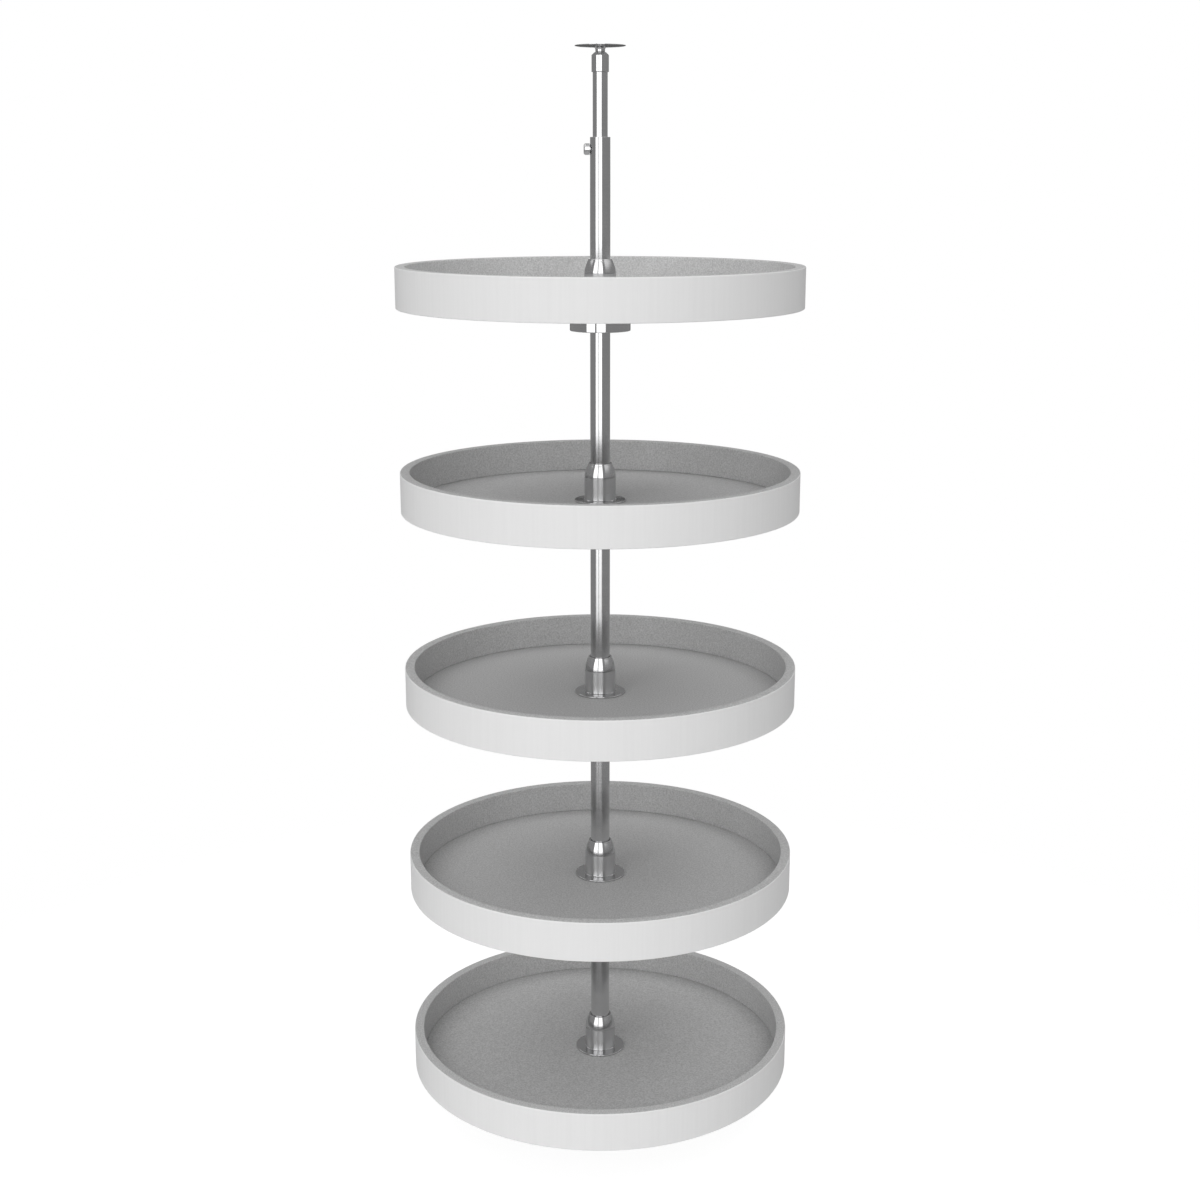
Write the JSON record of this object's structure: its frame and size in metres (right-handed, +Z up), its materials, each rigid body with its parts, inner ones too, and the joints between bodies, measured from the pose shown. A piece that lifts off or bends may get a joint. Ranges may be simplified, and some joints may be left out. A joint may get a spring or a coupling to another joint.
{
  "type": "rotating pantry unit",
  "caption": "Rotating pantry unit: round lipped trays on chromed hubs that turn about a telescoping pole held between a floor pivot and a ceiling pivot.",
  "frame": {"origin": "centre of the floor flange's underside, on the pole's axis", "axes": "+Z up along the pole to the ceiling flange, -X towards the lock screw, -Y towards the viewer"},
  "size_m": [0.508, 0.508, 1.3953],
  "materials": {
    "rim_lacquer": "satin light grey lacquer",
    "floor_lacquer": "fine textured light grey lacquer",
    "chrome": "bright chrome plate",
    "steel": "ground steel",
    "nylon": "natural moulded nylon"
  },
  "bodies": {
    "base": {"floor_flange": "chrome", "foot_ball": "steel"},
    "pole": {"outer_tube": "chrome", "foot_plug": "chrome", "tube_bush": "nylon", "lock_boss": "chrome"},
    "telescope": {"inner_tube": "chrome", "inner_guide": "nylon", "top_cap": "chrome"},
    "ceiling_flange": {"ceiling_flange": "chrome"},
    "lock_screw": {"lock_screw": "chrome"},
    "support_1": {"support_cup_1": "chrome", "set_screw_1": "steel", "thrust_washer_1": "steel"},
    "tray_1": {"tray_rim_1": "rim_lacquer", "tray_floor_1": "floor_lacquer", "flanged_bush_1": "nylon", "hub_sleeve_1": "chrome", "hub_cap_1": "chrome"},
    "support_2": {"support_cup_2": "chrome", "set_screw_2": "steel", "thrust_washer_2": "steel"},
    "tray_2": {"tray_rim_2": "rim_lacquer", "tray_floor_2": "floor_lacquer", "flanged_bush_2": "nylon", "hub_sleeve_2": "chrome", "hub_cap_2": "chrome"},
    "support_3": {"support_cup_3": "chrome", "set_screw_3": "steel", "thrust_washer_3": "steel"},
    "tray_3": {"tray_rim_3": "rim_lacquer", "tray_floor_3": "floor_lacquer", "flanged_bush_3": "nylon", "hub_sleeve_3": "chrome", "hub_cap_3": "chrome"},
    "support_4": {"support_cup_4": "chrome", "set_screw_4": "steel", "thrust_washer_4": "steel"},
    "tray_4": {"tray_rim_4": "rim_lacquer", "tray_floor_4": "floor_lacquer", "flanged_bush_4": "nylon", "hub_sleeve_4": "chrome", "hub_cap_4": "chrome"},
    "support_5": {"support_cup_5": "chrome", "set_screw_5": "steel", "thrust_washer_5": "steel"},
    "tray_5": {"tray_rim_5": "rim_lacquer", "tray_floor_5": "floor_lacquer", "flanged_bush_5": "nylon", "hub_sleeve_5": "chrome", "hub_cap_5": "chrome"}
  },
  "joints": [
    {"name": "pole_turn", "type": "hinge", "parent": "base", "child": "pole", "pos_m": [0, 0, 0], "axis": [0, 0, 1], "continuous": true},
    {"name": "telescope_slide", "type": "slide", "parent": "pole", "child": "telescope", "axis": [0, 0, 1], "range_m": [-0.07, 0.1]},
    {"name": "ceiling_turn", "type": "hinge", "parent": "telescope", "child": "ceiling_flange", "pos_m": [0, 0, 1.3953], "axis": [0, 0, 1], "continuous": true},
    {"name": "lock_screw_turn", "type": "hinge", "parent": "pole", "child": "lock_screw", "pos_m": [-0.0125, 0, 1.2741], "axis": [-1, 0, 0], "range_deg": [0, 720]},
    {"name": "tray_height_1", "type": "slide", "parent": "pole", "child": "support_1", "axis": [0, 0, 1], "range_m": [-0.08, 0.12]},
    {"name": "tray_turn_1", "type": "hinge", "parent": "support_1", "child": "tray_1", "pos_m": [0, 0, 1.0837], "axis": [0, 0, 1], "continuous": true},
    {"name": "tray_height_2", "type": "slide", "parent": "pole", "child": "support_2", "axis": [0, 0, 1], "range_m": [-0.08, 0.08]},
    {"name": "tray_turn_2", "type": "hinge", "parent": "support_2", "child": "tray_2", "pos_m": [0, 0, 0.8284], "axis": [0, 0, 1], "continuous": true},
    {"name": "tray_height_3", "type": "slide", "parent": "pole", "child": "support_3", "axis": [0, 0, 1], "range_m": [-0.08, 0.08]},
    {"name": "tray_turn_3", "type": "hinge", "parent": "support_3", "child": "tray_3", "pos_m": [0, 0, 0.5731], "axis": [0, 0, 1], "continuous": true},
    {"name": "tray_height_4", "type": "slide", "parent": "pole", "child": "support_4", "axis": [0, 0, 1], "range_m": [-0.08, 0.08]},
    {"name": "tray_turn_4", "type": "hinge", "parent": "support_4", "child": "tray_4", "pos_m": [0, 0, 0.3178], "axis": [0, 0, 1], "continuous": true},
    {"name": "tray_height_5", "type": "slide", "parent": "pole", "child": "support_5", "axis": [0, 0, 1], "range_m": [-0.009, 0.08]},
    {"name": "tray_turn_5", "type": "hinge", "parent": "support_5", "child": "tray_5", "pos_m": [0, 0, 0.0625], "axis": [0, 0, 1], "continuous": true}
  ],
  "couplings": [
    {"joint": "ceiling_turn", "follows": "pole_turn", "ratio": -1}
  ]
}
